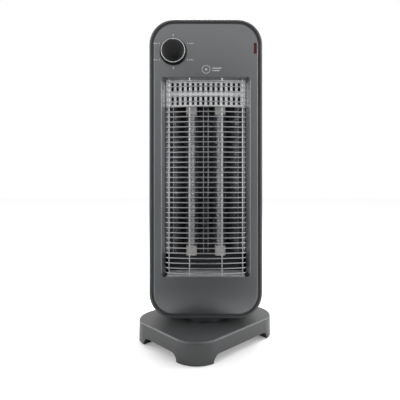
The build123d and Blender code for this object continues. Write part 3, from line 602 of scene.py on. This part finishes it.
# Carbon tubes: a carbon ribbon sealed in a clear quartz tube, with a steatite
# cap clamped over each end. The quartz shows as two bright edges.
quartz = finish("clear_quartz", "#f6f7f8", "#f2f4f5", grain=9 * mm, relief=0.01 * mm,
                gloss=(0.05, 0.09), Transmission_Weight=0.82, IOR=1.458)
# The caps' steatite is painted a darker grey than the terminal blocks' ivory, a painted shade for the
# shadow they sit in behind the guard; their pale edges are a painted highlight.
steatite = finish("fired_steatite_painted_shade", "#aeadaa", "#a3a29f", grain=1.0 * mm, relief=0.02 * mm,
                  gloss=(0.38, 0.5), edge=0.6 * mm, edge_colour="#f7f5ef", Subsurface_Weight=0.1,
                  Subsurface_Scale=1.5 * mm, IOR=1.6)
carbon = finish("woven_carbon_ribbon", "#151517", "#232427", grain=0.6 * mm, relief=0.05 * mm,
                gloss=(0.35, 0.5), IOR=1.6)
for side_name in ("left", "right"):
    skin("quartz_tube_" + side_name, quartz, bend=40)
    coat(carbon, "carbon_filament_" + side_name)
    for end in ("low", "high"):
        skin("ceramic_cap_" + side_name + "_" + end, steatite)

# Control knob: black satin ABS cap in a chrome-plated ring, which is set in a
# thin black skirt, with a white painted pointer. The black skirt is also a
# painted shade that stands for the thin shadow round the ring. It turns on the
# switch shaft in front of the panel's well.
plated = finish("chrome_plated_abs", "#e6e7e8", "#dcdddf", grain=2 * mm, relief=0.003 * mm,
                gloss=(0.3, 0.4), Metallic=0.6)
satin_black = finish("satin_black_abs", "#0c0c0d", "#101011", grain=0.7 * mm, relief=0.008 * mm,
                     gloss=(0.3, 0.38), IOR=1.35)
knob_low, knob_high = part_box("knob_ring")
cap_low, cap_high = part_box("knob_cap")
knob_centre = (knob_low + knob_high) / 2
knob_spot = (knob_centre.x, 0, knob_centre.z)
knob_radius = (knob_high.x - knob_low.x) / 2
ring_front, ring_back = knob_low.y, knob_high.y
ring_width = 2.2 * mm
ring_bead = 0.7 * mm
ring_shoulder = 0.15 * mm
ring_flat = 0.6 * mm
skirt = 0.8 * mm
inner_radius = knob_radius - ring_width
plated_radius = knob_radius - skirt
ring_profile = [(inner_radius, ring_front + ring_bead),
                (inner_radius + 0.25 * mm, ring_front + ring_shoulder),
                (inner_radius + ring_flat, ring_front), (plated_radius - ring_flat, ring_front),
                (plated_radius - 0.2 * mm, ring_front + ring_shoulder),
                (plated_radius, ring_front + ring_bead), (plated_radius, ring_back),
                (inner_radius, ring_back)]
ring_piece = turned_piece("knob_ring_plated", ring_profile, plated, knob_spot)
join_body(ring_piece, "knob", ["knob_ring"])
skirt_profile = [(plated_radius, ring_front + 0.6 * mm), (knob_radius - 0.3 * mm, ring_front + 0.8 * mm),
                 (knob_radius, ring_front + 1.6 * mm), (knob_radius, ring_back),
                 (plated_radius, ring_back)]
skirt_shade_piece = turned_piece("knob_skirt_painted_shade", skirt_profile, satin_black, knob_spot)
join_body(skirt_shade_piece, "knob")

# The cap's face is a shallow dome that falls faster towards its edge. Its stem
# ends a little short of the CAD cap's back.
cap_front, cap_back = cap_low.y, ring_back - 0.2 * mm
dome_steps = 14
dome_power = 3.2
dome_share = 0.8
dome_edge = ring_front + 1.2 * mm
cap_radius = inner_radius - 0.05 * mm
stem_radius = 15 * mm
stem_short = 5 * mm
stem_back = cap_high.y - stem_short
cap_profile = [(0, cap_front)]
for i in range(1, dome_steps):
    share = i / dome_steps
    fall = (dome_edge - cap_front) * share ** dome_power * dome_share
    cap_profile.append((cap_radius * share, cap_front + fall))
cap_profile += [(cap_radius - 0.3 * mm, dome_edge - 0.35 * mm), (cap_radius, dome_edge),
                (cap_radius, cap_back), (stem_radius, cap_back), (stem_radius, stem_back), (0, stem_back)]
cap_piece = turned_piece("knob_cap_satin", cap_profile, satin_black, knob_spot)
join_body(cap_piece, "knob", ["knob_cap"])
white_paint = finish("pad_printed_white", "#d9dadb", "#cfd0d1", grain=0.5 * mm, relief=0.004 * mm,
                     gloss=(0.5, 0.6), IOR=1.5)
pointer_tip = knob_centre.z + inner_radius - 2.2 * mm
pointer_root = knob_centre.z + inner_radius + 0.9 * mm
pointer_half = 1.7 * mm
pointer_front = ring_front - 0.12 * mm
pointer_back = ring_front + 2.1 * mm
pointer_points = [(knob_centre.x + dx, y, z) for y in (pointer_front, pointer_back)
                  for dx, z in ((-pointer_half, pointer_root), (pointer_half, pointer_root),
                                (0, pointer_tip))]
pointer_faces = [(0, 1, 2), (5, 4, 3), (0, 3, 4, 1), (1, 4, 5, 2), (2, 5, 3, 0)]
pointer = mesh_piece("knob_pointer_mark", pointer_points, pointer_faces, white_paint)
join_body(pointer, "knob", ["knob_pointer"])

# Dial print: six positions round the knob, pad-printed in pale grey as plain
# numbers, with a dash beside the four at the sides, and a plain ring, a dot
# and two bars over the window.
print_grey = finish("pad_printed_grey", "#c4c5c6", "#b9babb", grain=0.5 * mm, relief=0.004 * mm,
                    gloss=(0.5, 0.6), IOR=1.5)
ink = 0.06 * mm


def printed(name, points):
    """Flat print on the panel's face from an outline in the front view."""
    count = len(points)
    solid = [(x, y, z) for y in (front_y - ink, front_y + ink) for x, z in points]
    faces = [tuple(range(count)), tuple(reversed(range(count, 2 * count)))]
    faces += [(i, (i + 1) % count, count + (i + 1) % count, count + i) for i in range(count)]
    return join_body(mesh_piece(name, solid, faces, print_grey), "head")


def printed_bar(name, x, z, width, height):
    """Printed bar centred on a point."""
    return printed(name, [(x + sx * width / 2, z + sz * height / 2)
                          for sx, sz in ((-1, -1), (1, -1), (1, 1), (-1, 1))])


def printed_digit(step, x, z):
    """Printed number centred on a point."""
    text = bpy.data.curves.new("digit", "FONT")
    text.body = str(step)
    text.size = digit_height
    text.align_x = "CENTER"
    text.align_y = "CENTER"
    text.extrude = ink
    text.offset = digit_weight
    letter = new_object("dial_number_" + str(step), text)
    flat = evaluated_mesh(letter)
    bpy.data.objects.remove(letter)
    flat.transform(Matrix.Translation((x, front_y, z)) @ Matrix.Rotation(radians(90), 4, "X"))
    flat.materials.clear()
    flat.materials.append(print_grey)
    return join_body(new_object("dial_number_" + str(step), flat), "head")


digit_height = 6.2 * mm
digit_weight = 0.12 * mm
mark_radius = 32.5 * mm
dash_away = 7.5 * mm
dash_length = 8.0 * mm
dash_height = 1.6 * mm
positions = 6
for step in range(positions):
    turn = radians(90 - 360 / positions * step)
    mark_x = knob_centre.x + mark_radius * cos(turn)
    mark_z = knob_centre.z + mark_radius * sin(turn)
    printed_digit(step, mark_x, mark_z)
    if step % (positions // 2):
        out = 1 if cos(turn) > 0 else -1
        printed_bar("dial_dash_" + str(step), mark_x + out * dash_away, mark_z, dash_length, dash_height)

sign_x = 0.5 * mm
sign_z = 545.5 * mm
ring_outer = 8.4 * mm
ring_inner = 7.3 * mm
dot_radius = 2.2 * mm
bar_start = 12.5 * mm
bar_rise = 2.4 * mm
bar_height = 2.0 * mm
around = 40


def circle_points(radius, count):
    """Points round the printed sign's centre in the front view."""
    return [(sign_x + radius * cos(2 * pi * i / count), sign_z + radius * sin(2 * pi * i / count))
            for i in range(count)]


circles = (circle_points(ring_outer, around), circle_points(ring_inner, around))
band = [(x, y, z) for y in (front_y - ink, front_y + ink) for circle in circles for x, z in circle]
walls = []
for i in range(around):
    j = (i + 1) % around
    walls += [(i, j, around + j, around + i),
              (2 * around + i, 3 * around + i, 3 * around + j, 2 * around + j),
              (i, 2 * around + i, 2 * around + j, j),
              (around + i, around + j, 3 * around + j, 3 * around + i)]
join_body(mesh_piece("printed_ring", band, walls, print_grey), "head")
printed("printed_dot", circle_points(dot_radius, 24))
for row_name, row, length in (("upper", 1, 18.0 * mm), ("lower", -1, 14.0 * mm)):
    printed_bar("printed_bar_" + row_name, sign_x + bar_start + length / 2, sign_z + row * bar_rise,
                length, bar_height)

# Indicator: red acrylic lens in the panel's slot, over a neon lamp.
red_acrylic = finish("red_acrylic", "#4a0306", "#560509", grain=1.2 * mm, relief=0.01 * mm,
                     gloss=(0.42, 0.5), IOR=1.4)
skin("indicator_lens", red_acrylic)
lamp_glass = finish("blown_lamp_glass", "#e8dcd0", "#dccdbd", grain=4 * mm, relief=0.01 * mm,
                    gloss=(0.03, 0.08), Transmission_Weight=0.8, IOR=1.5)
coat(lamp_glass, "indicator_lamp")

# Screws: zinc-plated steel.
zinc = finish("zinc_plated_screws", "#c9cbc8", "#b8bab5", grain=0.5 * mm, relief=0.006 * mm,
              gloss=(0.22, 0.34), edge=0.25 * mm, edge_colour="#e4e6e2", Metallic=1.0)
coat(zinc, "reflector_screws", "vent_screws", "rear_cover_screws", "cap_screws", "cutout_screws",
     "hub_screws", "arm_screws", "base_screws", "motor_screws")

# Floor: a wide sheet of pale paper that keeps the heater's soft shadow. To the
# camera alone it glows, more with distance, so that it runs out into white; the
# weaker glow near the heater is a painted shade that deepens its shadow there.
floor_half = 6.0
floor_corners = [(-floor_half, -floor_half, 0), (floor_half, -floor_half, 0),
                 (floor_half, floor_half, 0), (-floor_half, floor_half, 0)]
floor = mesh_piece("floor", floor_corners, [(0, 1, 2, 3)], None)
glow_from, glow_to = 0.16, 0.7
glow_near, glow_far = 0.22, 0.75
floor_paper = empty_material("white_paper_sweep")
tree = floor_paper.node_tree
seen = add(tree, "ShaderNodeLightPath")
fibre = add(tree, "ShaderNodeTexNoise", {"Scale": 40.0})
tone = add(tree, "ShaderNodeMix", {0: fibre.outputs["Fac"], 6: srgb("#dddddd"), 7: srgb("#e2e2e2")},
           data_type="RGBA")
matt = add(tree, "ShaderNodeBsdfDiffuse", {"Color": tone.outputs[2]})
place = add(tree, "ShaderNodeTexCoord").outputs["Object"]
away = add(tree, "ShaderNodeVectorMath", {0: place}, operation="LENGTH").outputs["Value"]
far = add(tree, "ShaderNodeMapRange", {"Value": away, "From Min": glow_from, "From Max": glow_to,
                                       "To Min": glow_near, "To Max": glow_far},
          interpolation_type="SMOOTHSTEP")
lift = add(tree, "ShaderNodeMath", {0: seen.outputs["Is Camera Ray"], 1: far.outputs["Result"]},
           operation="MULTIPLY")
glow = add(tree, "ShaderNodeEmission", {"Strength": lift.outputs[0]})
both = add(tree, "ShaderNodeAddShader", {0: matt.outputs[0], 1: glow.outputs[0]})
add(tree, "ShaderNodeOutputMaterial", {"Surface": both.outputs[0]})
floor.data.materials.append(floor_paper)

# Studio: white surroundings, two soft boxes at each side, one above, and two
# dark flags in front, standing and lying, that the polished metal and the
# panel reflect. The surroundings light matt faces less than they show.
world_light = 0.3
world = bpy.data.worlds.new("studio")
scene.world = world
world.use_nodes = True
tree = world.node_tree
tree.nodes.clear()
ray = add(tree, "ShaderNodeLightPath")
shown = add(tree, "ShaderNodeMath", {0: ray.outputs["Is Camera Ray"], 1: ray.outputs["Is Glossy Ray"]},
            operation="MAXIMUM")
shown = add(tree, "ShaderNodeMath", {0: shown.outputs[0], 1: ray.outputs["Is Transmission Ray"]},
            operation="MAXIMUM")
level = add(tree, "ShaderNodeMapRange", {"Value": shown.outputs[0], "To Min": world_light, "To Max": 1.0})
sky = add(tree, "ShaderNodeBackground", {"Color": (1, 1, 1, 1), "Strength": level.outputs["Result"]})
add(tree, "ShaderNodeOutputWorld", {"Surface": sky.outputs[0]})


def soft_box(name, place, aim, width, height, power):
    """Area lamp that faces a point."""
    data = bpy.data.lights.new(name, "AREA")
    data.shape = "RECTANGLE"
    data.size = width
    data.size_y = height
    data.energy = power
    lamp = new_object(name, data)
    lamp.location = place
    lamp.rotation_euler = (Vector(aim) - Vector(place)).to_track_quat("-Z", "Y").to_euler()


soft_box("left_box", (-1.5, 0.35, 0.9), (0, 0, 0.3), 0.9, 1.5, 19)
soft_box("right_box", (1.5, 0.35, 1.0), (0, 0, 0.3), 0.9, 1.5, 22)
soft_box("left_front_box", (-1.6, -0.9, 0.7), (0, 0, 0.35), 0.6, 1.3, 9)
soft_box("right_front_box", (1.6, -0.9, 0.7), (0, 0, 0.35), 0.6, 1.3, 11)
soft_box("top_box", (0.1, 0.34, 1.8), (0, 0, 0.4), 1.2, 0.5, 40)
flag_cloth = bpy.data.materials.new("black_flag_cloth")
flag_cloth.use_nodes = True
cloth = node_of(flag_cloth.node_tree, "BSDF_PRINCIPLED")
cloth.inputs["Base Color"].default_value = srgb("#101010")
cloth.inputs["Roughness"].default_value = 0.9
flag_half = 0.20
flag_near = -0.24
flag_far = -1.0
flag_low = 0.01
flag_high = 0.85
for name, (y0, z0), (y1, z1) in (("standing_flag", (flag_far, flag_low), (flag_far, flag_high)),
                                 ("lying_flag", (flag_near, flag_low), (flag_far, flag_low))):
    flag_corners = [(-flag_half, y0, z0), (flag_half, y0, z0), (flag_half, y1, z1), (-flag_half, y1, z1)]
    flag = mesh_piece(name, flag_corners, [(0, 1, 2, 3)], flag_cloth)
    flag.visible_camera = False
    flag.visible_diffuse = False
    flag.visible_shadow = False
